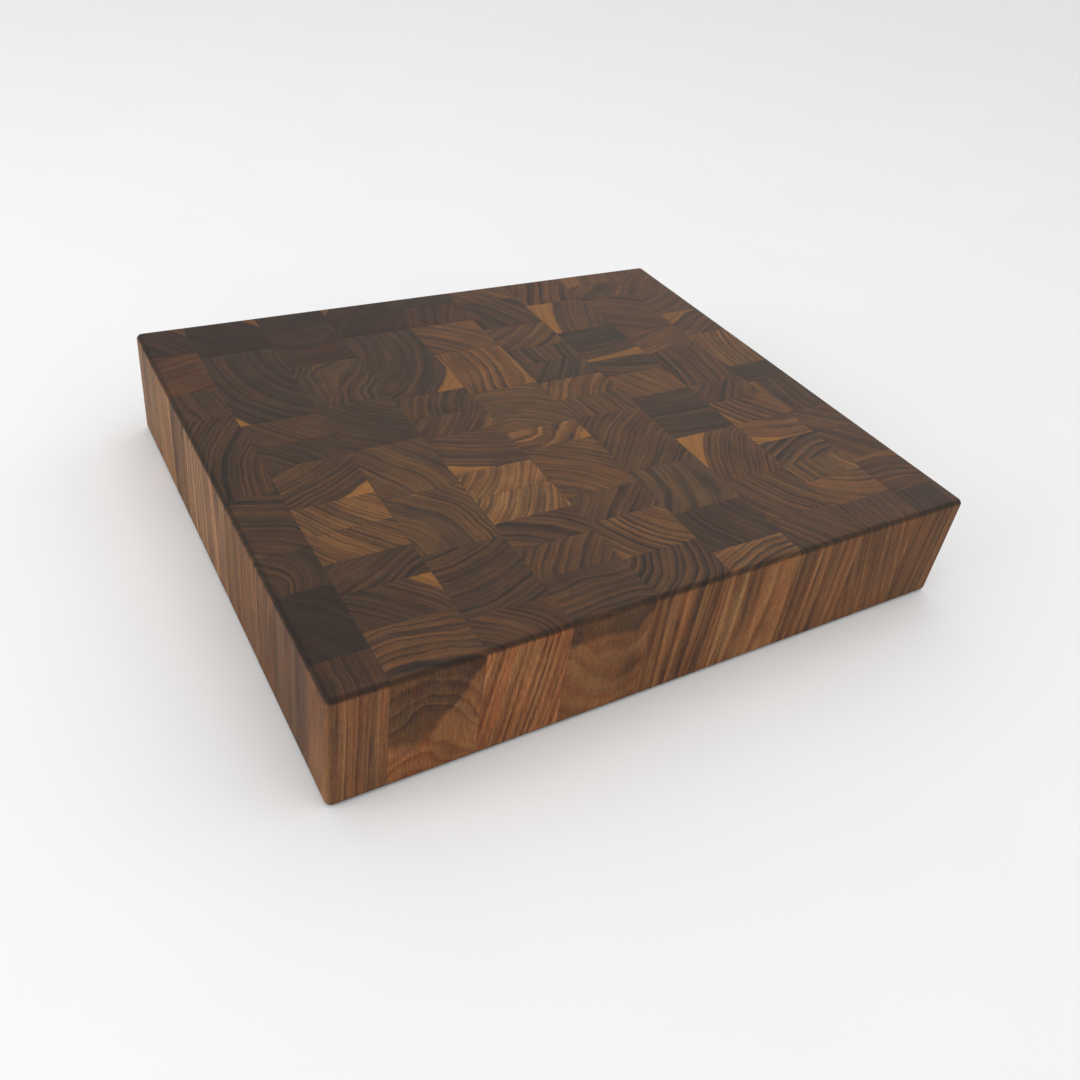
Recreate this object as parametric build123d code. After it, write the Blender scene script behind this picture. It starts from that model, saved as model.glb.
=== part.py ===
from build123d import *

import os
from itertools import pairwise

# End-grain butcher's block: walnut blocks stand on end, so that the knife meets the ends of the fibres.
#
# Blocks are glued one behind the other into strips that run from front to back, and the strips are
# glued side by side. The slab is then sawn square and all its outer edges are rounded over.
# The origin is the middle of the underside, +X runs to the right, +Y to the back and +Z up.

INCH = 25.4
BOARD_LENGTH = 14 * INCH
BOARD_DEPTH = 12 * INCH
BOARD_THICKNESS = 2.5 * INCH
ROUNDOVER = INCH / 8
GLUE_THICKNESS = 0.15

# Each strip from left to right: its width, then the lengths of its blocks from front to back.
# The last strip, and the last block of every strip, take up what is left of the board.
STRIPS = [
    (26.0, [20.5, 41.5, 26, 44, 71, 28, 41]),
    (42.0, [29.5, 24, 20.5, 20.5, 21.5, 34, 19, 22, 74]),
    (41.5, [20, 44, 44, 43.5, 44, 44.5, 43]),
    (43.5, [30, 22, 20.5, 21.5, 20.5, 34.5, 19, 22, 74]),
    (43.0, [28, 29, 21, 44, 18, 42.5, 46.5, 35, 26]),
    (43.0, [16.5, 31, 38.5, 53.5, 20, 21, 21.5, 18, 29, 36.5]),
    (42.0, [25.5, 35, 43.5, 44, 26, 18.5, 19.5, 19, 40]),
    (41.0, [22.5, 22, 17, 21.5, 21, 24, 21, 41, 29, 48, 21]),
    (None, [20.5, 32.5, 28, 24, 35.5, 20, 43, 31.5, 36]),
]


def seams(start, end, sizes):
    """The places of both ends and of every glue line between them, for pieces laid from start to end."""
    places = [start]
    for size in sizes:
        places.append(places[-1] + size)
    return [*places, end]


def bays(places):
    """The room that each piece has between two neighbouring seams, less half a glue line at each joint."""
    half = GLUE_THICKNESS / 2
    first, last = places[0], places[-1]
    return [
        (low + (half if low > first else 0), high - (half if high < last else 0))
        for low, high in pairwise(places)
    ]


def films(places):
    """The room that each glue line takes between two pieces."""
    half = GLUE_THICKNESS / 2
    return [(place - half, place + half) for place in places[1:-1]]


def rounded_slab():
    """The outside of the finished board."""
    slab = Box(
        BOARD_LENGTH, BOARD_DEPTH, BOARD_THICKNESS, align=(Align.CENTER, Align.CENTER, Align.MIN)
    )
    return fillet(slab.edges(), ROUNDOVER)


def full_height(x_room, y_room):
    """A box over the whole thickness of the board, from the room it has along X and along Y."""
    (left, right), (front, back) = x_room, y_room
    corner = Pos(left, front, 0)
    return corner * Box(right - left, back - front, BOARD_THICKNESS, align=Align.MIN)


def is_inside(x_room, y_room):
    """True if a piece stops short of the board's four sides, so that no rounded edge reaches it."""
    reach_x = max(abs(place) for place in x_room)
    reach_y = max(abs(place) for place in y_room)
    return reach_x < BOARD_LENGTH / 2 - ROUNDOVER and reach_y < BOARD_DEPTH / 2 - ROUNDOVER


def trimmed(slab, x_room, y_room):
    """One block or glue line, cut to the rounded outside of the board where it reaches it."""
    piece = full_height(x_room, y_room)
    if is_inside(x_room, y_room):
        return piece
    return (slab & piece).solid()


def side_strip(name, slab, x_room, y_rooms):
    """The left or right strip, where every block has a rounded outer edge and is a part of its own."""
    return {
        f"{name}_block_{number}": [trimmed(slab, x_room, y_room)]
        for number, y_room in enumerate(y_rooms, 1)
    }


def middle_strip(name, slab, x_room, y_rooms):
    """A strip with a rounded block at each end and plain sawn blocks between them."""
    blocks = [trimmed(slab, x_room, y_room) for y_room in y_rooms]
    return {
        f"{name}_front_block": blocks[:1],
        f"{name}_inner_blocks": blocks[1:-1],
        f"{name}_back_block": blocks[-1:],
    }


def glue_in_strip(slab, x_room, y_places):
    """The glue lines between the blocks of one strip."""
    return [trimmed(slab, x_room, y_room) for y_room in films(y_places)]


def glue_between_strips(slab, x_places):
    """The glue lines between neighbouring strips, each over the whole depth of the board."""
    y_room = (-BOARD_DEPTH / 2, BOARD_DEPTH / 2)
    return [trimmed(slab, x_room, y_room) for x_room in films(x_places)]


def board():
    """Every part of the board: its name and its solids."""
    slab = rounded_slab()
    widths = [width for width, _ in STRIPS if width]
    x_places = seams(-BOARD_LENGTH / 2, BOARD_LENGTH / 2, widths)
    x_rooms = bays(x_places)
    parts = {"glue_between_strips": glue_between_strips(slab, x_places)}
    for number, (x_room, (_, lengths)) in enumerate(zip(x_rooms, STRIPS), 1):
        name = f"strip_{number}"
        y_places = seams(-BOARD_DEPTH / 2, BOARD_DEPTH / 2, lengths)
        is_side = number in (1, len(STRIPS))
        strip = side_strip if is_side else middle_strip
        parts.update(strip(name, slab, x_room, bays(y_places)))
        parts[f"{name}_glue"] = glue_in_strip(slab, x_room, y_places)
    return parts


os.makedirs("parts", exist_ok=True)
for part_name, solids in board().items():
    export_step(Compound(children=solids, label=part_name), f"parts/{part_name}.step")
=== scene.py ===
import math
from typing import NamedTuple

import bpy
from mathutils import Matrix, Vector, noise


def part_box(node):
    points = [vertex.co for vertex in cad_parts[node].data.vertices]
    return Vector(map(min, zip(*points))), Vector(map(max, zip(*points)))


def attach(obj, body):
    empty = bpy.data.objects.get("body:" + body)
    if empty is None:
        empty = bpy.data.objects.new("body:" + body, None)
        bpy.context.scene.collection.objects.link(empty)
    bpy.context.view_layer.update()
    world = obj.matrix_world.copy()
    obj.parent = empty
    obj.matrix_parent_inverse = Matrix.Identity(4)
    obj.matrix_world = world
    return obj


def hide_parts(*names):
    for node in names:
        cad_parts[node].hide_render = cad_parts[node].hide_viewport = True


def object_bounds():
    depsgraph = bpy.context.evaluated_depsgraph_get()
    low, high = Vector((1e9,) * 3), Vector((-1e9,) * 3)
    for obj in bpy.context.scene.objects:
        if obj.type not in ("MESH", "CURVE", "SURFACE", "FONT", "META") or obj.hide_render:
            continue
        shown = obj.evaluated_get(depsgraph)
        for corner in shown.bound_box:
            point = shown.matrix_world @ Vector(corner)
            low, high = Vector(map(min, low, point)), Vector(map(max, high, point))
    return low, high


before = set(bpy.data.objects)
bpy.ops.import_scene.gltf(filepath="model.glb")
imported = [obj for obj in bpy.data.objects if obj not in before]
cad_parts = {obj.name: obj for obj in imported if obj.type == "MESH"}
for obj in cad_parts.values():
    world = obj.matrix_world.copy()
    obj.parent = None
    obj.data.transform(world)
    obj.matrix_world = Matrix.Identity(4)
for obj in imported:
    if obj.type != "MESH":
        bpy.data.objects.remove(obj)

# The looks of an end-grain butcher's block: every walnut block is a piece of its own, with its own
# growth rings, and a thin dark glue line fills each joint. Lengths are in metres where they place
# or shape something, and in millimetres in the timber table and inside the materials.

cad_low, cad_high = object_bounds()

MM = 0.001


# ---------------------------------------------------------------- timber

# Walnut from its darkest to its palest, by lightness.
WALNUT = (
    (0.00, (0.0130, 0.0080, 0.0050)),
    (0.25, (0.0255, 0.0145, 0.0085)),
    (0.45, (0.0560, 0.0280, 0.0145)),
    (0.65, (0.1060, 0.0470, 0.0175)),
    (0.85, (0.1720, 0.0730, 0.0230)),
    (1.05, (0.2520, 0.1070, 0.0330)),
    (1.35, (0.4000, 0.1860, 0.0640)),
)
LIGHTEST = 1.4
SAPWOOD = (0.252, 0.104, 0.023)
# The grey mixed into the long grain: mostly painted sheen, a haze that stands in for shine, with some grey
# of the wood's own.
SHEEN_AND_GREYING_COLOUR = (0.250, 0.165, 0.112)
HOLE = (0.012, 0.007, 0.004)

# Long grain whose lightness the table leaves out is this light, with a share of its ends' lightness on top.
SIDE_LIGHT = 0.72
SIDE_SHARE = 0.28


class Grain(NamedTuple):
    """How the growth rings cross a block, seen from above, and how its wood is coloured.

    slope is the direction of the rings at the block's middle, in degrees from +X.
    pith is how far away the tree's middle is, in mm: above 0 to the left of that direction, else to the
    right.
    pitch is the width of a ring, in mm.
    light is how light the ends are and side how light the long grain is, from 0 to LIGHTEST.
    red and side_red are how red the ends and the long grain are: 0 is walnut brown, and below 0 is olive.
    lines is how strongly the rings show, and wave how far they stray from true circles.
    sap is where sapwood starts, in mm outwards from the block's middle, and sap_share how pale it is.
    lean is how far the rings move outwards for each mm of height.
    figure is how much broad waves take the place of fine stripes on the long grain, 1 for fully.
    sheen_and_greying is how greyed the long grain is: mostly painted sheen, a grey haze standing in for
    shine, with some grey of the wood's own.
    knot is a knot's place from the block's middle, in mm, and knot_size its rough radius.
    dusk is how far above the knot the dark wood on the long grain starts, in mm.
    """

    slope: float
    pith: float
    pitch: float
    light: float
    red: float = 0.0
    lines: float = 1.0
    wave: float = 1.0
    side: float = None
    side_red: float = None
    sap: float = 1000.0
    sap_share: float = 1.0
    lean: float = 0.0
    figure: float = 0.0
    sheen_and_greying: float = 0.03
    knot: tuple = (0.0, 0.0, -1000.0)
    knot_size: float = 3.0
    dusk: float = 10000.0


# The strips from left to right, and in each strip its blocks from front to back.
TIMBER = [
    [
        Grain(88, -220, 4.5, 0.45, 0.6, 1.1, side=0.84, side_red=0.3, sheen_and_greying=0.08),
        Grain(-48, -70, 7.0, 0.26, 0.0, 0.7, side=0.66, sheen_and_greying=0.10),
        Grain(-68, -32, 4.6, 0.42, 0.0, 1.3, 2.5, side=0.75, side_red=-0.1, sheen_and_greying=0.07),
        Grain(-28, -80, 6.0, 0.46, 0.1, 1.9, 2.0, side=0.80, side_red=-0.1, sheen_and_greying=0.07),
        Grain(65, -120, 2.9, 0.44, 0.2, 2.0, side=1.05, side_red=-0.4, sheen_and_greying=0.30),
        Grain(-83, 100, 3.6, 0.45, 0.0, side=0.77, sheen_and_greying=0.15),
        Grain(17, -150, 6.5, 0.55, 1.2, 0.7, side=1.04, side_red=-0.5, sheen_and_greying=0.15),
        Grain(-52, -80, 6.0, 0.33, 1.0, 0.8, side=0.92, side_red=-0.3, sap=12, sap_share=0.25, sheen_and_greying=0.35),
    ],
    [
        Grain(-8, -90, 4.8, 0.58, 0.2, 1.4, 1.3, side=0.96, side_red=0.3,
              lean=0.36, figure=1.3, knot=(-1.0, -19.0, 5.0), dusk=-10),
        Grain(-47, -110, 4.4, 0.48, 0.3, sap=14.6, sap_share=0.8),
        Grain(27, 120, 5.0, 0.45),
        Grain(-52, 90, 2.4, 0.67, 0.0, 1.0),
        Grain(-55, 110, 2.4, 0.73, 0.0, 1.0),
        Grain(27, 150, 3.2, 0.52, sap=16.2),
        Grain(-50, -100, 4.2, 0.41, -0.2, 0.8),
        Grain(-50, 120, 5.0, 0.45, 0.2),
        Grain(-69, 66, 4.2, 0.38, -0.1, 1.1, sap=32),
        Grain(-55, -90, 6.0, 0.25, 0.9, 0.5, sap=21.6, sap_share=0.4),
    ],
    [
        Grain(-50, -60, 3.8, 0.52, 0.6, 1.3, side=1.02, side_red=0.6, lean=-0.12),
        Grain(14, 75, 4.4, 0.46, 0.0, 1.3),
        Grain(-62, -55, 4.9, 0.60, -0.3, 1.0),
        Grain(-62, -70, 3.6, 0.57, -0.2, 0.9),
        Grain(-42, 90, 4.6, 0.43, -0.3, 0.9),
        Grain(62, -100, 5.0, 0.48, -0.5, 1.5, 3.0),
        Grain(5, 38, 9.0, 0.36, 0.9, 0.6),
        Grain(40, -150, 7.0, 0.29, 0.0, 0.6),
    ],
    [
        Grain(0, -160, 4.8, 0.52, 0.1, 1.2, 1.3, side=0.90, side_red=0.1, lean=-0.3, figure=1,
              knot=(15.0, -19.0, -6.0), knot_size=6, dusk=24),
        Grain(50, -90, 5.0, 0.56, 0.3, 1.1),
        Grain(-35, -70, 5.6, 0.52, 0.1, 1.1),
        Grain(52, 80, 2.8, 0.84, -0.3, 0.85),
        Grain(52, 200, 2.4, 0.81, -0.2, 0.75),
        Grain(-18, 110, 4.2, 0.53, -0.1, 0.9, sap=16.2, sap_share=0.85),
        Grain(48, 140, 3.6, 0.49, -0.1, 0.8, sap=17, sap_share=0.3),
        Grain(62, -90, 5.0, 0.48, 0.1, 1.2),
        Grain(67, 65, 9.0, 0.43, -0.1, 0.9, sap=26, sap_share=0.85),
        Grain(50, -90, 6.5, 0.29, 0.9, 0.5, sap=23.2, sap_share=0.4),
    ],
    [
        Grain(55, 45, 3.8, 0.49, 0.1, 1.9, side=0.80, side_red=0.3),
        Grain(-52, 70, 4.6, 0.65, 0.1, 1.4),
        Grain(50, -150, 6.0, 0.54, 0.1, 1.4, 1.3),
        Grain(-40, -90, 4.0, 0.62, 0.2, 0.7),
        Grain(38, 60, 9.0, 0.75, 0.2, 1.3, 3.0, sap=11.9, sap_share=0.9),
        Grain(-22, -44, 5.2, 0.62, -0.4, 0.5),
        Grain(85, 150, 6.0, 0.70, 0.3, 0.9, 1.3, sap=18.3, sap_share=0.7),
        Grain(-42, -70, 9.0, 0.62, 0.3, 0.8, sap=14, sap_share=0.12),
        Grain(65, -100, 6.5, 0.40, 1.1),
        Grain(30, 120, 7.0, 0.33, 0.0, 0.6),
    ],
    [
        Grain(14, -70, 2.9, 0.76, -0.1, 1.0, side=1.03, side_red=-0.2),
        Grain(-68, 120, 4.2, 0.40, -0.1, 0.9),
        Grain(76, 50, 13.0, 0.56, -0.6, 1.1),
        Grain(42, -250, 3.2, 0.53, 0.0, 0.9),
        Grain(-80, 120, 4.2, 0.60, -0.2, 1.1),
        Grain(50, -150, 4.6, 0.68, 0.1, 1.0),
        Grain(50, 150, 6.0, 0.47, -0.6, 0.4),
        Grain(88, -150, 5.5, 0.54, -0.4, 1.1),
        Grain(32, 100, 9.0, 0.57, 0.2, 1.0),
        Grain(-62, -90, 14.0, 0.45, 0.4, 1.2),
        Grain(-50, 150, 8.0, 0.58, 0.4, 0.7),
    ],
    [
        Grain(-58, 150, 5.0, 0.53, 0.1, 0.9, side=0.85),
        Grain(-62, 68, 5.4, 0.57, 0.1, 1.0),
        Grain(54, -80, 3.9, 0.60, 0.3, 1.1, sap=14.2),
        Grain(-3, 220, 5.0, 0.42, -0.3, 0.8),
        Grain(-65, 150, 7.0, 0.62, 0.2, 1.0),
        Grain(-20, 90, 6.5, 0.45, -0.2, 1.2, 1.8),
        Grain(7, 150, 5.0, 0.44, 0.0, 0.7, sap=5.6, sap_share=0.65),
        Grain(5, 150, 6.0, 0.36, -0.6, 0.4),
        Grain(66, -120, 6.0, 0.52, 0.0, 0.7, sap=10.0, sap_share=0.8),
        Grain(62, -150, 8.0, 0.58, 0.9, 1.2),
    ],
    [
        Grain(86, 90, 5.0, 0.53, 0.1, 0.9, 1.3, side=0.82, lean=0.22),
        Grain(-25, 46, 4.6, 0.69, 0.2, 1.0),
        Grain(-78, 60, 6.0, 0.66, -0.3, 1.1),
        Grain(20, -150, 5.0, 0.55, -0.1, 1.6),
        Grain(-8, 150, 6.0, 0.70, 0.3, 1.1, 1.8, sap=8, sap_share=0.8),
        Grain(-58, 120, 5.5, 0.63, 0.3, 1.7, sap=18, sap_share=0.5),
        Grain(45, 150, 5.5, 0.52, 0.1, 0.7),
        Grain(82, 120, 8.0, 0.50, 0.1, 1.1, 1.4),
        Grain(20, 150, 8.0, 0.58, 0.3, 0.6),
        Grain(-28, -150, 7.0, 0.52, 0.0, 0.8),
        Grain(40, 150, 7.0, 0.56, 0.3, 0.6),
        Grain(75, -120, 7.0, 0.62, 0.3, 0.5, sap=8, sap_share=0.35),
    ],
    [
        Grain(84, 150, 5.0, 0.40, 0.0, 0.8, side=0.72),
        Grain(-6, -200, 4.0, 0.53, 0.4, 1.1, sap=12.8, sap_share=0.35),
        Grain(-52, 100, 7.0, 0.54, 0.3, 1.0, sap=14, sap_share=0.25),
        Grain(-40, 150, 8.0, 0.54, 0.3, 0.6),
        Grain(86, -150, 7.0, 0.46, 0.0, 0.9, sap=12.5, sap_share=0.4),
        Grain(3, 150, 7.0, 0.36, -0.1, 1.1),
        Grain(80, -100, 4.5, 0.66, 0.0, 0.9),
        Grain(25, -120, 6.0, 0.56, -0.1, 0.8, sap=9.6, sap_share=0.5),
        Grain(25, 150, 9.0, 0.54, -0.2, 0.7),
        Grain(40, -150, 8.0, 0.54, 0.5, 0.6),
    ],
]

# ---------------------------------------------------------------- shape

ROUNDOVER = 3.175 * MM
ARC_STEPS = [math.tan(math.radians(angle)) for angle in range(0, 46, 9)]  # cuts round an edge, in radii
RELIEF_SPACING = 4 * MM

SEAM_WIDTH = 0.5 * MM  # how far from a joint the soft arris starts
SEAM_DEPTH = 0.045 * MM
SEAM_STEPS = [0.0, 0.3, 0.65, 1.0]  # cuts across the arris, in widths
GLUE_SINK = 0.07 * MM

SWELL = 0.03 * MM
SWELL_LENGTH = 28 * MM
BLOCK_SWELL = 0.5  # how much each block swells as a whole, against its own unevenness
SKIN = 0.001 * MM  # a point this close to the outside is on it
SHARP_ANGLE = 40


def rooms(node, axis):
    """Where the solids of a node start and end along an axis, for solids that are flat across it."""
    places = sorted({round(vertex.co[axis], 6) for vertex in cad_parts[node].data.vertices})
    return list(zip(places[::2], places[1::2]))


def boxes(node, axis):
    """The lowest and highest corner of each solid of a node, for solids laid in a row along an axis."""
    node_low, node_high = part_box(node)
    found = []
    for start, end in rooms(node, axis):
        low, high = node_low.copy(), node_high.copy()
        low[axis], high[axis] = start, end
        found.append((low, high))
    return found


def end_cuts(place, outside, way):
    """Places to cut near one end: round the edge if the end is on the outside, else beside the joint."""
    if abs(place - outside) < SEAM_WIDTH:
        return [place - way * ROUNDOVER * (1 - step) for step in ARC_STEPS]
    return [place - way * SEAM_WIDTH * step for step in SEAM_STEPS]


def cuts(low, high, axis):
    """Places to cut a block across an axis: close together at its ends, evenly spaced between them."""
    low_cuts = sorted(end_cuts(low[axis], cad_low[axis], -1))
    high_cuts = sorted(end_cuts(high[axis], cad_high[axis], 1))
    start, end = low_cuts[-1], high_cuts[0]
    count = max(1, round((end - start) / RELIEF_SPACING))
    between = [start + (end - start) * step / count for step in range(1, count)]
    return low_cuts + between + high_cuts


def rounded(point):
    """Where rounding the edges moves a point of the square slab, and the way out if it is on the skin."""
    inner_low = cad_low + Vector((ROUNDOVER,) * 3)
    inner_high = cad_high - Vector((ROUNDOVER,) * 3)
    nearest = Vector(min(max(value, lo), hi) for value, lo, hi in zip(point, inner_low, inner_high))
    away = point - nearest
    if away.length == 0:
        return point, None
    reach = max(abs(value) for value in away)
    way_out = away.normalized()
    is_skin = reach > ROUNDOVER - SKIN
    return nearest + way_out * reach, way_out if is_skin else None


def seam_dip(point, low, high):
    """How far the skin dips towards the nearest joint."""
    dip = 0.0
    for axis in (0, 1):
        for place, edge in ((low[axis], cad_low[axis]), (high[axis], cad_high[axis])):
            distance = abs(point[axis] - place)
            if abs(place - edge) > SEAM_WIDTH and distance < SEAM_WIDTH:
                dip = max(dip, SEAM_DEPTH * (1 - distance / SEAM_WIDTH) ** 2)
    return dip


def swell(point, seed):
    """The slight unevenness that oil and damp leave on a sanded board."""
    own_place = Vector((seed * 7.3, 0.5, 0.5))
    return SWELL * (noise.noise(point / SWELL_LENGTH) + BLOCK_SWELL * noise.noise(own_place))


def add_skin(points, faces, places, shape):
    """Adds a closed skin over the six sides of a box cut at the given places, each point moved by shape."""
    counts = [len(row) - 1 for row in places]
    index = {}

    def corner(steps):
        if steps not in index:
            index[steps] = len(points)
            points.append(shape(Vector(places[axis][steps[axis]] for axis in range(3))))
        return index[steps]

    for axis in range(3):
        u_axis, v_axis = (axis + 1) % 3, (axis + 2) % 3
        for side in (0, counts[axis]):
            for u in range(counts[u_axis]):
                for v in range(counts[v_axis]):
                    ring = []
                    for du, dv in ((0, 0), (1, 0), (1, 1), (0, 1)):
                        steps = [0, 0, 0]
                        steps[axis], steps[u_axis], steps[v_axis] = side, u + du, v + dv
                        ring.append(corner(tuple(steps)))
                    faces.append(ring if side else ring[::-1])


def skin_mesh(name, rows_of_places, shape):
    """A mesh of one closed skin for each box, given by the places where the box is cut."""
    points = []
    faces = []
    for places in rows_of_places:
        add_skin(points, faces, places, shape)
    mesh = bpy.data.meshes.new(name)
    mesh.from_pydata(points, [], faces)
    mesh.polygons.foreach_set("use_smooth", [True] * len(mesh.polygons))
    mesh.set_sharp_from_angle(angle=math.radians(SHARP_ANGLE))
    return mesh


def block_mesh(name, low, high, seed):
    """One walnut block, with rounded outer edges, soft arrises at its joints and a slightly uneven skin."""

    def shape(point):
        moved, way_out = rounded(point)
        if way_out is None:
            return moved
        return moved + way_out * (swell(moved, seed) - seam_dip(moved, low, high))

    return skin_mesh(name, [[cuts(low, high, axis) for axis in range(3)]], shape)


def glue_mesh(name, lines, thin_axis):
    """A row of glue lines, which end a little below the wood's surface."""

    def shape(point):
        moved, way_out = rounded(point)
        if way_out is None:
            return moved
        return moved - way_out * GLUE_SINK

    rows_of_places = []
    for low, high in lines:
        places = [cuts(low, high, axis) for axis in range(3)]
        places[thin_axis] = [low[thin_axis], high[thin_axis]]
        rows_of_places.append(places)
    return skin_mesh(name, rows_of_places, shape)


# ---------------------------------------------------------------- material nodes

NOISE_LOW, NOISE_HIGH = 0.3, 0.7  # most of a noise texture's values lie between these


class Nodes:
    """Adds shader nodes to a material and links them, so that a material reads like a formula."""

    def __init__(self, tree):
        self.tree = tree

    def add(self, kind, **settings):
        node = self.tree.nodes.new("ShaderNode" + kind)
        for key, value in settings.items():
            setattr(node, key, value)
        return node

    def feed(self, socket, value):
        if isinstance(value, bpy.types.NodeSocket):
            self.tree.links.new(value, socket)
        else:
            socket.default_value = value

    def math(self, operation, *values):
        node = self.add("Math", operation=operation)
        for socket, value in zip(node.inputs, values):
            self.feed(socket, value)
        return node.outputs[0]

    def total(self, *values):
        result = values[0]
        for value in values[1:]:
            result = self.math("ADD", result, value)
        return result

    def product(self, *values):
        result = values[0]
        for value in values[1:]:
            result = self.math("MULTIPLY", result, value)
        return result

    def vector(self, operation, *values):
        node = self.add("VectorMath", operation=operation)
        for socket, value in zip(node.inputs, values):
            self.feed(socket, value)
        return node.outputs["Value" if operation == "LENGTH" else "Vector"]

    def scaled(self, vector, factor):
        node = self.add("VectorMath", operation="SCALE")
        self.feed(node.inputs[0], vector)
        self.feed(node.inputs["Scale"], factor)
        return node.outputs["Vector"]

    def scaled_colour(self, colour, factor):
        return self.scaled(self.join(*colour), factor)

    def parts(self, vector):
        node = self.add("SeparateXYZ")
        self.feed(node.inputs[0], vector)
        return node.outputs

    def join(self, x, y, z):
        node = self.add("CombineXYZ")
        for socket, value in zip(node.inputs, (x, y, z)):
            self.feed(socket, value)
        return node.outputs[0]

    def ramp(self, value, start, end, low=0.0, high=1.0, smooth=True):
        """low up to start, high from end on, and a smooth or straight change between them."""
        node = self.add("MapRange", interpolation_type="SMOOTHSTEP" if smooth else "LINEAR", clamp=True)
        for socket, number in zip(node.inputs, (value, start, end, low, high)):
            self.feed(socket, number)
        return node.outputs[0]

    def spread(self, value, low, high):
        """A noise's values spread out from low to high."""
        return self.ramp(value, NOISE_LOW, NOISE_HIGH, low, high)

    def scale(self, value, stops):
        """A colour from a row of (place, colour) stops."""
        node = self.add("ValToRGB")
        row = node.color_ramp.elements
        while len(row) < len(stops):
            row.new(0.5)
        for element, (place, colour) in zip(row, stops):
            element.position = place
            element.color = (*colour, 1.0)
        self.feed(node.inputs["Fac"], value)
        return node.outputs["Color"]

    def mix(self, factor, first, second):
        node = self.add("Mix", data_type="RGBA")
        self.feed(node.inputs["Factor"], factor)
        for name, value in (("A", first), ("B", second)):
            socket = next(s for s in node.inputs if s.name == name and s.type == "RGBA")
            self.feed(socket, value if isinstance(value, bpy.types.NodeSocket) else (*value, 1.0))
        return next(s for s in node.outputs if s.type == "RGBA")

    def noise(self, place, detail=2.0, rough=0.5, colour=False):
        node = self.add("TexNoise", noise_dimensions="3D")
        self.feed(node.inputs["Vector"], place)
        self.feed(node.inputs["Scale"], 1.0)
        self.feed(node.inputs["Detail"], detail)
        self.feed(node.inputs["Roughness"], rough)
        return node.outputs["Color" if colour else "Fac"]

    def stretched_noise(self, place, rates, detail, rough=0.5):
        """A noise that changes at its own rate for each mm along x, y and z."""
        return self.noise(self.vector("MULTIPLY", place, rates), detail, rough)

    def line_noise(self, place):
        node = self.add("TexNoise", noise_dimensions="1D")
        self.feed(node.inputs["W"], place)
        self.feed(node.inputs["Scale"], 1.0)
        self.feed(node.inputs["Detail"], 1.0)
        return node.outputs["Fac"]

    def random(self, value):
        node = self.add("TexWhiteNoise", noise_dimensions="1D")
        self.feed(node.inputs["W"], value)
        return node.outputs["Value"]

    def trait(self, name):
        """A number that give_traits wrote on the piece."""
        return self.add("Attribute", attribute_type="OBJECT", attribute_name=name).outputs["Fac"]

    def place(self, name):
        """A place or direction that give_traits wrote on the piece."""
        return self.add("Attribute", attribute_type="OBJECT", attribute_name=name).outputs["Vector"]

    def position_mm(self):
        return self.scaled(self.add("TexCoord").outputs["Object"], 1 / MM)


def new_material(name):
    """An empty node material: the node helper, its Principled shader and the material."""
    material = bpy.data.materials.new(name)
    material.use_nodes = True
    material.node_tree.nodes.clear()
    nodes = Nodes(material.node_tree)
    shader = nodes.add("BsdfPrincipled")
    output = nodes.add("OutputMaterial")
    nodes.tree.links.new(shader.outputs["BSDF"], output.inputs["Surface"])
    return nodes, shader, material


# ---------------------------------------------------------------- walnut

# How the rings wander: the length of a wander across the grain, its length up the grain, and its reach.
BROAD_WANDER = (38, 190, 8.0)
SMALL_WANDER = (11, 90, 1.5)
FINE_WANDER = (2.2, 30, 0.45)
FIGURE_WANDER = (24, 20, 5.0)
DUSK_WANDER = (22, 22, 16.0)

# A ring from its inside, at 0, to its outside, at 1.
EARLY_WOOD_END = 0.30
LATE_WOOD_START = 0.10
LATE_WOOD_PEAK = 0.88
LATE_WOOD_RISE = 2.2  # how late in that stretch the wood darkens, as a power

RING_DRIFT = 1.6  # how far the rings drift from even spacing, in rings
DRIFT_RATE = 0.41  # how fast that changes from ring to ring
FAINTEST_RING = 0.35
PATCH_STRENGTHS = (0.7, 1.15)  # how strongly the rings show, from patch to patch

# Stripes that follow the rings: their width, length and height, and how far they change the lightness.
STRIPES = (
    (9.0, 120.0, 200.0, 0.08),
    (2.4, 70.0, 150.0, 0.15),
    (0.9, 30.0, 70.0, 0.09),
    (0.45, 4.0, 18.0, 0.06),
)
RED_STRIPES = (3.2, 90.0, 200.0, 0.4)  # the same, for how far they change the redness
STRIPE_NOISE = (0.28, 0.72)

# How fast each pattern changes, for each mm along x, y and z.
PATCH_RATE = 0.09  # patches where the rings show more or less
CLOUD_RATES = (0.055, 0.055, 0.02)
FIBRE_RATES = (1.5, 1.5, 0.05)
SPECKLE_RATES = (2.2, 2.2, 0.28)
RED_RATES = (0.12, 0.12, 0.03)
PORE_RATES = (1.25, 1.25, 0.08)

# What each thing adds to the lightness, in shares of the block's own.
USUAL_LIGHTNESS = 1.03
LATE_WOOD_SHADE = -0.38
EARLY_WOOD_SHADE = 0.15
CLOUD_REACH = 0.08
END_FIBRE = 0.05
LONG_FIBRE = 0.09
SPECKLE_REACH = 0.13
KNOT_SHADE = -0.5
DUSK_SHADE = -0.40
FIGURED_LINES = 0.32  # how strongly the rings show on figured long grain, against the ends
FIGURED_STRIPES = 0.3  # how strongly the stripes show there, against plain long grain
FIGURED_FIBRE = -0.4  # how much weaker the fibres are there

RED_SHIFT = (0.03, -0.14, -0.22)  # how redness changes the red, green and blue
RED_REACH = 0.5
LATE_RED = 0.8  # how much redder the late wood is on the long grain
LONG_GRAIN_TINT = (1.02, 0.98, 0.97)
ROUNDED_EDGE_PAINTED_SHADE = 0.55  # the share of its brightness that the rounded edge keeps: painted shade on the rounded edges of the ends
SAP_EDGE = (-1.0, 0.8)  # where heartwood turns into sapwood, in mm

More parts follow.
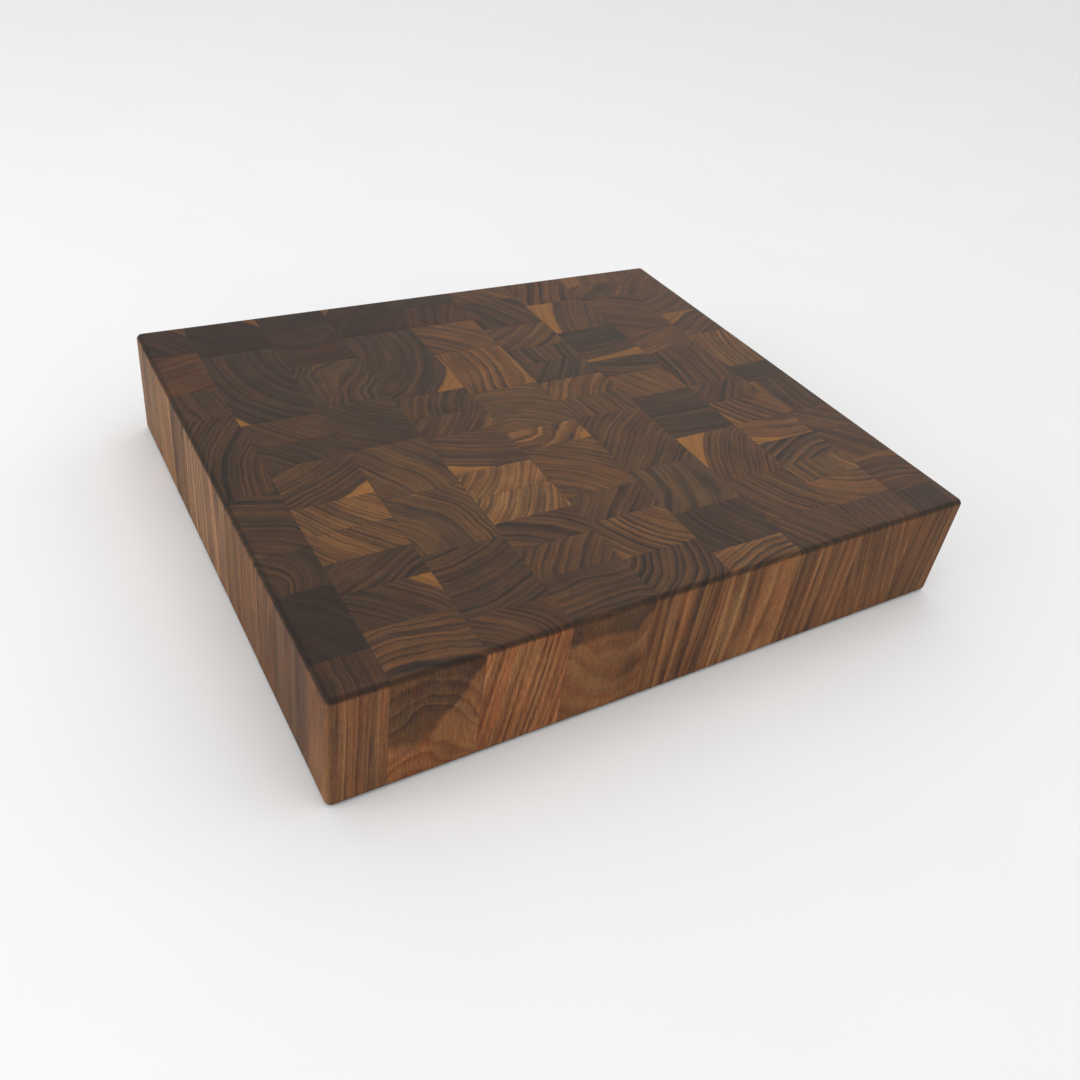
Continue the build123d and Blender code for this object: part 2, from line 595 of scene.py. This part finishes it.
# How upright a surface's normal is, from 0 on the sides to 1 on the ends: where long grain turns into end
# grain, and where the painted shade on the rounded edge starts and stops.
END_GRAIN = (0.25, 0.70)
PAINTED_EDGE_SHADE_START = (0.10, 0.45)
PAINTED_EDGE_SHADE_STOP = (0.90, 0.995)

PORE_EDGE = (0.10, 0.22)  # in shares of the room round a pore
PORE_SHADE = 0.5
LATE_PORES = 0.35  # how much the pores show in the late wood

USUAL_ROUGHNESS = 0.50
SPECKLE_ROUGHNESS = (-0.04, 0.08)
PORE_ROUGHNESS = 0.15
OIL_IOR = 1.45
OIL_SHINE = 0.3

# How far the fibres, the speckle and the pores stand out of the skin, in shares of the relief's depth.
FIBRE_RELIEF = 0.35
SPECKLE_RELIEF = 0.25
PORE_RELIEF = -0.7
RELIEF_STRENGTH = 0.35
RELIEF_DEPTH = 0.05 * MM

KNOT_STRETCH = (1.0, 1.0, 0.75)
SWIRL_SIZE = 3.0  # how far the rings bend round a knot, in knots
SWIRL_PULL = 0.7
DUSK_SLOPE = 1.5  # how steeply the dark wood's border climbs to the right of the knot
DUSK_SOFTNESS = (-5.0, 2.0)  # where the border starts and stops, in mm


def stray(nodes, point, length, height, reach):
    """A wandering offset in mm: length across the grain and height along it set how fast it changes."""
    squeezed = nodes.vector("MULTIPLY", point, (1 / length, 1 / length, 1 / height))
    centred = nodes.vector("SUBTRACT", nodes.noise(squeezed, 1.5, colour=True), (0.5, 0.5, 0.5))
    return nodes.scaled(centred, reach)


def ring_place(nodes, spot, point):
    """A point's place in the tree, in mm: outwards across the rings, round them, and up."""
    offsets = [
        nodes.scaled(stray(nodes, point, *BROAD_WANDER), nodes.trait("wave")),
        nodes.scaled(stray(nodes, point, *SMALL_WANDER), nodes.trait("wave")),
        stray(nodes, point, *FINE_WANDER),
        nodes.scaled(stray(nodes, point, *FIGURE_WANDER), nodes.trait("figure")),
    ]
    moved = spot
    for offset in offsets:
        moved = nodes.vector("ADD", moved, offset)
    from_pith = nodes.vector("SUBTRACT", moved, nodes.place("pith"))
    x, y, z = nodes.parts(from_pith)
    distance = nodes.vector("LENGTH", nodes.join(x, y, 0.0))
    leaning = nodes.product(z, nodes.trait("lean"))
    depth = nodes.total(distance, nodes.product(nodes.trait("pith_distance"), -1.0), leaning)
    outwards_x, outwards_y, _ = nodes.parts(nodes.place("outwards"))
    ahead = nodes.total(nodes.product(x, outwards_x), nodes.product(y, outwards_y))
    aside = nodes.math("SUBTRACT", nodes.product(y, outwards_x), nodes.product(x, outwards_y))
    around = nodes.product(nodes.math("ARCTAN2", aside, ahead), nodes.trait("pith_distance"))
    return depth, around, z


def knot_nearness(nodes, spot, sizes):
    """1 in the middle of the block's knot, falling away over the given number of knot sizes."""
    away = nodes.vector("SUBTRACT", spot, nodes.place("knot"))
    distance = nodes.vector("LENGTH", nodes.vector("MULTIPLY", away, KNOT_STRETCH))
    share = nodes.math("DIVIDE", distance, nodes.product(nodes.trait("knot_size"), sizes))
    return nodes.math("EXPONENT", nodes.product(share, share, -1.0))


def dusk_share(nodes, spot, point):
    """1 in the dark wood above a knot, 0 below a soft border that climbs to the right of the knot."""
    from_knot = nodes.vector("SUBTRACT", spot, nodes.place("knot"))
    x, y, z = nodes.parts(nodes.vector("ADD", from_knot, stray(nodes, point, *DUSK_WANDER)))
    climb = nodes.product(nodes.math("MAXIMUM", x, 0.0), DUSK_SLOPE)
    above = nodes.math("SUBTRACT", nodes.math("SUBTRACT", z, climb), nodes.trait("dusk"))
    return nodes.ramp(above, *DUSK_SOFTNESS)


def streaks(nodes, place, width, length, height, reach):
    """Soft streaks that follow the rings, of a width, length and height in mm, from -reach to reach."""
    rates = (1 / width, 1 / length, 1 / height)
    return nodes.ramp(nodes.stretched_noise(place, rates, 1.0), *STRIPE_NOISE, -reach, reach)


def ring_parts(nodes, depth, point, seed):
    """How far through its ring a point is, its late and early wood, and how strongly the ring shows."""
    share = nodes.math("DIVIDE", depth, nodes.trait("pitch"))
    uneven = nodes.line_noise(nodes.total(nodes.product(share, DRIFT_RATE), nodes.product(seed, 9.0)))
    phase = nodes.total(share, nodes.product(uneven, RING_DRIFT), 50.0)
    within = nodes.math("FRACT", phase)
    ring = nodes.math("FLOOR", phase)
    chance = nodes.random(nodes.total(ring, nodes.product(seed, 3.0)))
    patchy = nodes.spread(nodes.noise(nodes.scaled(point, PATCH_RATE), 2.0), *PATCH_STRENGTHS)
    strength = nodes.product(nodes.ramp(chance, 0.0, 1.0, FAINTEST_RING, 1.0), patchy, nodes.trait("lines"))
    rise = nodes.math("POWER", nodes.ramp(within, LATE_WOOD_START, LATE_WOOD_PEAK), LATE_WOOD_RISE)
    late_wood = nodes.product(rise, nodes.ramp(within, LATE_WOOD_PEAK, 1.0, 1.0, 0.0))
    early_wood = nodes.ramp(within, 0.0, EARLY_WOOD_END, 1.0, 0.0)
    return within, late_wood, early_wood, strength


def heartwood(nodes, point, lighter, redder, end_grain, side_grain):
    """The colour of the block's heartwood, with painted sheen on the long grain, from the share of end
    grain and long grain at the surface.
    """
    light = nodes.total(
        nodes.product(nodes.trait("light"), end_grain),
        nodes.product(nodes.trait("side"), side_grain),
    )
    stops = [(lightness / LIGHTEST, colour) for lightness, colour in WALNUT]
    wood = nodes.scale(nodes.product(light, lighter, 1 / LIGHTEST), stops)
    red = nodes.total(
        nodes.product(nodes.trait("red"), end_grain),
        nodes.product(nodes.trait("side_red"), side_grain),
        nodes.spread(nodes.stretched_noise(point, RED_RATES, 3.0), -RED_REACH, RED_REACH),
        nodes.product(redder, side_grain),
    )
    redness = nodes.scaled(nodes.join(*RED_SHIFT), red)
    wood = nodes.vector("MULTIPLY", wood, nodes.vector("ADD", redness, (1.0, 1.0, 1.0)))
    wood = nodes.mix(side_grain, wood, nodes.vector("MULTIPLY", wood, LONG_GRAIN_TINT))
    # Painted sheen: the long grain is greyed towards a pale haze colour, with some grey of the wood's own.
    sheen_and_greying_share = nodes.product(side_grain, nodes.trait("sheen_and_greying"))
    return nodes.mix(sheen_and_greying_share, wood, nodes.scaled_colour(SHEEN_AND_GREYING_COLOUR, lighter))


def walnut():
    """Oiled black walnut, solid right through: ring arcs on the end grain, stripes down the long grain."""
    nodes, shader, material = new_material("oiled_walnut")
    spot = nodes.position_mm()
    seed = nodes.trait("seed")
    # The seed gives each block patterns from a far-off place of their own.
    far_apart = nodes.join(nodes.product(seed, 131.0), nodes.product(seed, 71.0), seed)
    point = nodes.vector("ADD", spot, far_apart)

    depth, around, height = ring_place(nodes, spot, point)
    swirl = nodes.product(knot_nearness(nodes, spot, SWIRL_SIZE), nodes.trait("knot_size"), SWIRL_PULL)
    depth = nodes.math("SUBTRACT", depth, swirl)
    tree_apart = nodes.scaled(nodes.join(seed, seed, seed), 37.0)
    place = nodes.vector("ADD", nodes.join(depth, around, height), tree_apart)
    within, late_wood, early_wood, strength = ring_parts(nodes, depth, point, seed)

    upright = nodes.math("ABSOLUTE", nodes.parts(nodes.add("NewGeometry").outputs["True Normal"])[2])
    end_grain = nodes.ramp(upright, *END_GRAIN)
    side_grain = nodes.math("SUBTRACT", 1.0, end_grain)
    figured = nodes.product(nodes.trait("figure"), side_grain)

    clouds = nodes.stretched_noise(point, CLOUD_RATES, 3.0)
    fibre = nodes.stretched_noise(point, FIBRE_RATES, 3.0, 0.6)
    speckle = nodes.stretched_noise(point, SPECKLE_RATES, 2.0, 0.7)
    rings = nodes.total(
        nodes.product(late_wood, strength, LATE_WOOD_SHADE),
        nodes.product(early_wood, strength, EARLY_WOOD_SHADE),
    )
    stripes = nodes.total(*[streaks(nodes, place, *stripe) for stripe in STRIPES])
    ring_share = nodes.ramp(nodes.total(side_grain, figured), 0.0, 2.0, 1.0, FIGURED_LINES, smooth=False)
    stripe_share = nodes.ramp(figured, 0.0, 1.0, 1.0, FIGURED_STRIPES, smooth=False)
    plain_side = nodes.total(side_grain, nodes.product(figured, FIGURED_FIBRE))
    fibre_reach = nodes.ramp(plain_side, 0.0, 1.0, END_FIBRE, LONG_FIBRE)
    lighter = nodes.total(
        USUAL_LIGHTNESS,
        nodes.product(rings, ring_share),
        nodes.product(stripes, stripe_share),
        nodes.spread(clouds, -CLOUD_REACH, CLOUD_REACH),
        nodes.product(nodes.spread(fibre, -1.0, 1.0), fibre_reach),
        nodes.spread(speckle, -SPECKLE_REACH, SPECKLE_REACH),
        nodes.product(knot_nearness(nodes, spot, 1.0), KNOT_SHADE),
        nodes.product(dusk_share(nodes, spot, point), side_grain, DUSK_SHADE),
    )
    redder = nodes.total(nodes.product(late_wood, LATE_RED), streaks(nodes, place, *RED_STRIPES))
    wood = heartwood(nodes, point, lighter, redder, end_grain, side_grain)

    edge = nodes.math("SUBTRACT", depth, nodes.trait("sap"))
    is_sap = nodes.product(nodes.ramp(edge, *SAP_EDGE), nodes.trait("sap_share"))
    sap_lighter = nodes.math("POWER", nodes.math("MAXIMUM", lighter, 0.1), 0.5)
    wood = nodes.mix(is_sap, wood, nodes.scaled_colour(SAPWOOD, sap_lighter))

    pores = nodes.add("TexVoronoi", feature="F1", distance="EUCLIDEAN")
    nodes.feed(pores.inputs["Vector"], nodes.vector("MULTIPLY", point, PORE_RATES))
    nodes.feed(pores.inputs["Scale"], 1.0)
    pore = nodes.ramp(pores.outputs["Distance"], *PORE_EDGE, 1.0, 0.0)
    open_pore = nodes.product(pore, nodes.ramp(within, 0.0, 0.8, 1.0, LATE_PORES))
    wood = nodes.mix(nodes.product(open_pore, PORE_SHADE), wood, HOLE)

    # Painted shade: the rounded top and bottom edges are darkened in the wood's colour itself.
    painted_edge_shade = nodes.product(nodes.ramp(upright, *PAINTED_EDGE_SHADE_START), nodes.ramp(upright, *PAINTED_EDGE_SHADE_STOP, 1.0, 0.0))
    wood = nodes.scaled(wood, nodes.ramp(painted_edge_shade, 0.0, 1.0, 1.0, ROUNDED_EDGE_PAINTED_SHADE, smooth=False))
    nodes.feed(shader.inputs["Base Color"], wood)

    roughness = nodes.total(
        USUAL_ROUGHNESS,
        nodes.spread(speckle, *SPECKLE_ROUGHNESS),
        nodes.product(pore, PORE_ROUGHNESS),
    )
    nodes.feed(shader.inputs["Roughness"], roughness)
    nodes.feed(shader.inputs["IOR"], OIL_IOR)
    nodes.feed(shader.inputs["Specular IOR Level"], OIL_SHINE)

    relief = nodes.total(
        nodes.product(fibre, FIBRE_RELIEF),
        nodes.product(speckle, SPECKLE_RELIEF),
        nodes.product(pore, PORE_RELIEF),
    )
    bump = nodes.add("Bump")
    nodes.feed(bump.inputs["Strength"], RELIEF_STRENGTH)
    nodes.feed(bump.inputs["Distance"], RELIEF_DEPTH)
    nodes.feed(bump.inputs["Height"], relief)
    nodes.feed(shader.inputs["Normal"], bump.outputs["Normal"])
    return material


# ---------------------------------------------------------------- glue and floor

DARK_GLUE = (0.014, 0.008, 0.005)
DUSTY_GLUE = (0.030, 0.017, 0.010)
DUST_RATE = 0.8
GLUE_ROUGHNESS = (0.45, 0.65)

PAPER = ((0.86, 0.86, 0.86), (0.90, 0.90, 0.90))
PAPER_TO_THE_CAMERA = ((0.94, 0.94, 0.94), (0.97, 0.97, 0.97))
PAPER_IN_THE_SHINE = (0.5, 0.5, 0.5)
PAPER_ROUGHNESS = 0.9
MOTTLE_RATE = 0.01


def cured_glue():
    """Brown wood glue with sanding dust in it."""
    nodes, shader, material = new_material("cured_glue")
    dust = nodes.noise(nodes.scaled(nodes.position_mm(), DUST_RATE), 3.0)
    nodes.feed(shader.inputs["Base Color"], nodes.mix(dust, DARK_GLUE, DUSTY_GLUE))
    nodes.feed(shader.inputs["Roughness"], nodes.spread(dust, *GLUE_ROUGHNESS))
    return material


def backdrop():
    """Plain pale paper, faintly mottled. The camera sees it paler than the wood and its shine do."""
    nodes, shader, material = new_material("pale_floor")
    mottle = nodes.noise(nodes.scaled(nodes.position_mm(), MOTTLE_RATE), 2.0)
    rays = nodes.add("LightPath").outputs
    paper = nodes.mix(mottle, *PAPER)
    seen = nodes.mix(mottle, *PAPER_TO_THE_CAMERA)
    paper = nodes.mix(rays["Is Camera Ray"], paper, seen)
    nodes.feed(shader.inputs["Base Color"], nodes.mix(rays["Is Glossy Ray"], paper, PAPER_IN_THE_SHINE))
    nodes.feed(shader.inputs["Roughness"], PAPER_ROUGHNESS)
    return material


# ---------------------------------------------------------------- pieces

# The traits that pass from the timber table to a piece as they are.
PLAIN_TRAITS = (
    "pitch", "light", "red", "lines", "wave", "sap", "sap_share",
    "lean", "figure", "sheen_and_greying", "knot_size", "dusk",
)


def new_piece(name, mesh, node, material):
    """A visual piece that stands for a CAD node and rides on the board's one body."""
    piece = bpy.data.objects.new(name, mesh)
    bpy.context.scene.collection.objects.link(piece)
    mesh.materials.append(material)
    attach(piece, "root")
    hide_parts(node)
    return piece


def give_traits(piece, grain, low, high, seed):
    """Tells the walnut material how the rings cross this block and how its wood is coloured."""
    middle = (low + high) / 2 / MM
    way_to_pith = math.radians(grain.slope + math.copysign(90, grain.pith))
    to_pith = Vector((math.cos(way_to_pith), math.sin(way_to_pith), 0))
    piece["pith"] = list(middle + to_pith * abs(grain.pith))
    piece["pith_distance"] = float(abs(grain.pith))
    piece["outwards"] = list(-to_pith)
    piece["knot"] = list(middle + Vector(grain.knot))
    piece["side"] = SIDE_LIGHT + SIDE_SHARE * grain.light if grain.side is None else grain.side
    piece["side_red"] = grain.red if grain.side_red is None else grain.side_red
    piece["seed"] = float(seed)
    for name in PLAIN_TRAITS:
        piece[name] = float(getattr(grain, name))


def strip_nodes(number):
    """The CAD nodes of a strip's blocks, from front to back."""
    name = f"strip_{number}"
    if f"{name}_inner_blocks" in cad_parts:
        return [f"{name}_{kind}" for kind in ("front_block", "inner_blocks", "back_block")]
    count = sum(node.startswith(f"{name}_block_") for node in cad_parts)
    return [f"{name}_block_{place}" for place in range(1, count + 1)]


def make_blocks():
    """Every walnut block, strip by strip."""
    material = walnut()
    seed = 0
    for number, grains in enumerate(TIMBER, 1):
        found = []
        for node in strip_nodes(number):
            solids = boxes(node, 1) if node.endswith("inner_blocks") else [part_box(node)]
            found += [(node, low, high) for low, high in solids]
        if len(found) != len(grains):
            raise ValueError(f"strip {number} has {len(found)} blocks and {len(grains)} kinds of grain")
        for place, ((node, low, high), grain) in enumerate(zip(found, grains), 1):
            seed += 1
            name = f"walnut_{number}_{place}"
            piece = new_piece(name, block_mesh(name, low, high, seed), node, material)
            give_traits(piece, grain, low, high, seed)


def make_glue():
    """The glue lines: a piece for the joints across each strip, and one for the joints between strips."""
    material = cured_glue()
    rows = [(f"strip_{number}_glue", 1) for number in range(1, len(TIMBER) + 1)]
    rows.append(("glue_between_strips", 0))
    for node, thin_axis in rows:
        name = f"{node}_lines"
        new_piece(name, glue_mesh(name, boxes(node, thin_axis), thin_axis), node, material)


# ---------------------------------------------------------------- studio

CAMERA_PLACE = Vector((-0.2699, -0.3979, 0.3548))
CAMERA_HEADING = 34.5
CAMERA_DOWN = 35.8
CAMERA_ROLL = 8.24
CAMERA_LENS = 33.89
CAMERA_SHIFT = (0.0104, -0.0417)

FLOOR_HALF = 6.0
WHITE = (1.0, 1.0, 1.0, 1.0)
SURROUND = (0.70, 1.0)  # how bright the surround is to the left and to the right
SURROUND_CHANGE = (0.1, 0.65)  # where it starts and stops changing, from -1 on the left to 1 on the right

# Each light's place, size and power.
KEY = (Vector((0.0, -0.1, 1.6)), 1.2, 3.5)
FILL = (Vector((-1.5, 0.1, 0.6)), 1.0, 6.5)


def make_camera():
    """The camera looks down at the front left corner, slightly rolled."""
    data = bpy.data.cameras.new("camera")
    camera = bpy.data.objects.new("camera", data)
    bpy.context.scene.collection.objects.link(camera)
    data.sensor_width = 36
    data.lens = CAMERA_LENS
    data.shift_x, data.shift_y = CAMERA_SHIFT
    data.clip_start, data.clip_end = 0.01, 50
    heading = Matrix.Rotation(math.radians(-CAMERA_HEADING), 4, "Z")
    tilt = Matrix.Rotation(math.radians(90 - CAMERA_DOWN), 4, "X")
    roll = Matrix.Rotation(math.radians(CAMERA_ROLL), 4, "Z")
    camera.matrix_world = Matrix.Translation(CAMERA_PLACE) @ heading @ tilt @ roll
    bpy.context.scene.camera = camera


def softbox(name, place, size, power):
    """A square soft light that faces the middle of the board."""
    data = bpy.data.lights.new(name, "AREA")
    data.size = size
    data.energy = power
    light = bpy.data.objects.new(name, data)
    bpy.context.scene.collection.objects.link(light)
    light.location = place
    target = (cad_low + cad_high) / 2
    light.rotation_euler = (target - light.location).to_track_quat("-Z", "Y").to_euler()


def make_floor():
    """A wide pale floor just under the board."""
    mesh = bpy.data.meshes.new("floor")
    half = FLOOR_HALF
    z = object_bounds()[0].z
    corners = [(-half, -half, z), (half, -half, z), (half, half, z), (-half, half, z)]
    mesh.from_pydata(corners, [], [range(4)])
    floor = bpy.data.objects.new("floor", mesh)
    bpy.context.scene.collection.objects.link(floor)
    mesh.materials.append(backdrop())


def make_surround():
    """A white surround that is dimmer to the left."""
    world = bpy.data.worlds.new("surround")
    world.use_nodes = True
    background = world.node_tree.nodes["Background"]
    background.inputs["Color"].default_value = WHITE
    nodes = Nodes(world.node_tree)
    to_the_right = nodes.parts(nodes.add("TexCoord").outputs["Generated"])[0]
    nodes.feed(background.inputs["Strength"], nodes.ramp(to_the_right, *SURROUND_CHANGE, *SURROUND))
    bpy.context.scene.world = world


make_blocks()
make_glue()
make_floor()
make_surround()
softbox("key", *KEY)
softbox("fill", *FILL)
make_camera()
bpy.context.scene.view_settings.view_transform = "Standard"
